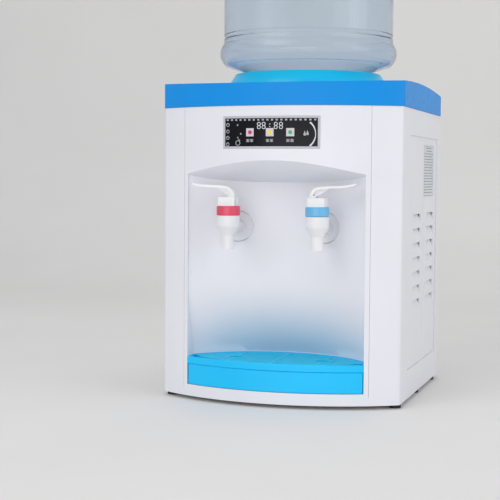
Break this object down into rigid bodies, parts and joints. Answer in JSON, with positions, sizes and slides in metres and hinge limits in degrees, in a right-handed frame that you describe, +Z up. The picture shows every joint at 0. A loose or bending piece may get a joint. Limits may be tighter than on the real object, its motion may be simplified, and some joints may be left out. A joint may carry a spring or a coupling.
{
  "type": "countertop water dispenser",
  "caption": "Tabletop water dispenser: bow-fronted body, lift-off bottle, lever taps for hot and room-temperature water, cup recess, pull-out drip tray.",
  "frame": {"origin": "on the table, under the middle of the body's bounding box", "axes": "+Z up; -Y towards the user (taps and display), +Y the back; +X to the user's right"},
  "size_m": [0.304, 0.3136, 0.73],
  "materials": {
    "body_white": "satin",
    "lid_blue": "satin",
    "tray_blue": "satin",
    "tap_white": "satin",
    "ring_red": "satin",
    "ring_blue": "satin",
    "clear_bottle": "smooth",
    "display_black": "polished",
    "display_frame": "satin",
    "light_red": "diffusing",
    "light_yellow": "diffusing",
    "light_green": "diffusing",
    "board_green": "laminate",
    "black_rubber": "matt",
    "black_plastic": "fine texture",
    "silicone": "smooth",
    "steel": "brushed",
    "spring_steel": "bright",
    "heater": "scaled",
    "foam": "foam",
    "label": "printed film",
    "natural_plastic": "moulded",
    "rocker_red": "smooth"
  },
  "bodies": {
    "housing": {"base_pan": "body_white", "rubber_feet": "black_rubber", "base_screws": "steel", "front_panel": "body_white", "side_shell_right": "body_white", "side_shell_left": "body_white", "rear_panel": "body_white", "rear_screws": "steel", "rating_label": "label", "top_lid": "lid_blue", "bottle_collar": "lid_blue", "feed_probe": "natural_plastic", "display_bezel": "display_frame", "display_window": "display_black", "light_red": "light_red", "light_yellow": "light_yellow", "light_green": "light_green", "display_board": "board_green", "digit_display": "display_black", "tap_body_hot": "tap_white", "tap_body_cold": "tap_white", "tap_ring_hot": "ring_red", "tap_ring_cold": "ring_blue", "tap_cap_hot": "tap_white", "tap_cap_cold": "tap_white", "lever_pins": "steel", "tap_spring_hot": "spring_steel", "tap_spring_cold": "spring_steel", "tap_washers": "black_rubber", "tap_nuts": "tap_white", "reservoir": "natural_plastic", "reservoir_lid": "natural_plastic", "hot_tank": "steel", "heater_band": "heater", "tank_insulation": "foam", "thermostats": "black_plastic", "tank_bracket": "steel", "bracket_screws": "steel", "cold_hose": "silicone", "hot_hose": "silicone", "tank_hoses": "silicone", "drain_hose": "silicone", "drain_spigot": "natural_plastic", "switch_housing": "black_plastic", "cable_gland": "black_plastic", "terminal_block": "natural_plastic"},
    "bottle": {"bottle": "clear_bottle", "bottle_cap": "natural_plastic"},
    "drip_tray": {"drip_tray": "tray_blue"},
    "drip_grid": {"drip_grid": "tray_blue"},
    "lever_hot": {"lever_hot": "tap_white"},
    "lever_cold": {"lever_cold": "tap_white"},
    "valve_hot": {"tap_stem_hot": "steel", "tap_seal_hot": "silicone"},
    "valve_cold": {"tap_stem_cold": "steel", "tap_seal_cold": "silicone"},
    "switch_rocker": {"switch_rocker": "rocker_red"},
    "drain_cap": {"drain_cap": "lid_blue"}
  },
  "joints": [
    {"name": "bottle_lift", "type": "slide", "parent": "housing", "child": "bottle", "axis": [0, 0, 1], "range_m": [0, 0.12]},
    {"name": "tray_slide", "type": "slide", "parent": "housing", "child": "drip_tray", "axis": [0, -1, 0], "range_m": [0, 0.09]},
    {"name": "grid_lift", "type": "slide", "parent": "drip_tray", "child": "drip_grid", "axis": [0, 0, 1], "range_m": [0, 0.003]},
    {"name": "lever_hot_press", "type": "hinge", "parent": "housing", "child": "lever_hot", "pos_m": [-0.0605, -0.142, 0.2453], "axis": [0, -1, 0], "range_deg": [0, 18], "stiffness_Nm_per_rad": 0.5, "springref_deg": -5.73},
    {"name": "valve_hot_lift", "type": "slide", "parent": "housing", "child": "valve_hot", "axis": [0, 0, 1], "range_m": [0, 0.0016], "deforming": ["tap_spring_hot"]},
    {"name": "lever_cold_press", "type": "hinge", "parent": "housing", "child": "lever_cold", "pos_m": [0.0605, -0.142, 0.2453], "axis": [0, 1, 0], "range_deg": [0, 18], "stiffness_Nm_per_rad": 0.5, "springref_deg": -5.73},
    {"name": "valve_cold_lift", "type": "slide", "parent": "housing", "child": "valve_cold", "axis": [0, 0, 1], "range_m": [0, 0.0016], "deforming": ["tap_spring_cold"]},
    {"name": "rocker_turn", "type": "hinge", "parent": "housing", "child": "switch_rocker", "pos_m": [0.08, 0.15185, 0.09], "axis": [1, 0, 0], "range_deg": [0, 16]},
    {"name": "drain_cap_off", "type": "slide", "parent": "housing", "child": "drain_cap", "axis": [0, 1, 0], "range_m": [0, 0.03]}
  ],
  "couplings": [
    {"joint": "valve_hot_lift", "follows": "lever_hot_press", "m_per_rad": 0.005},
    {"joint": "valve_cold_lift", "follows": "lever_cold_press", "m_per_rad": 0.005}
  ]
}
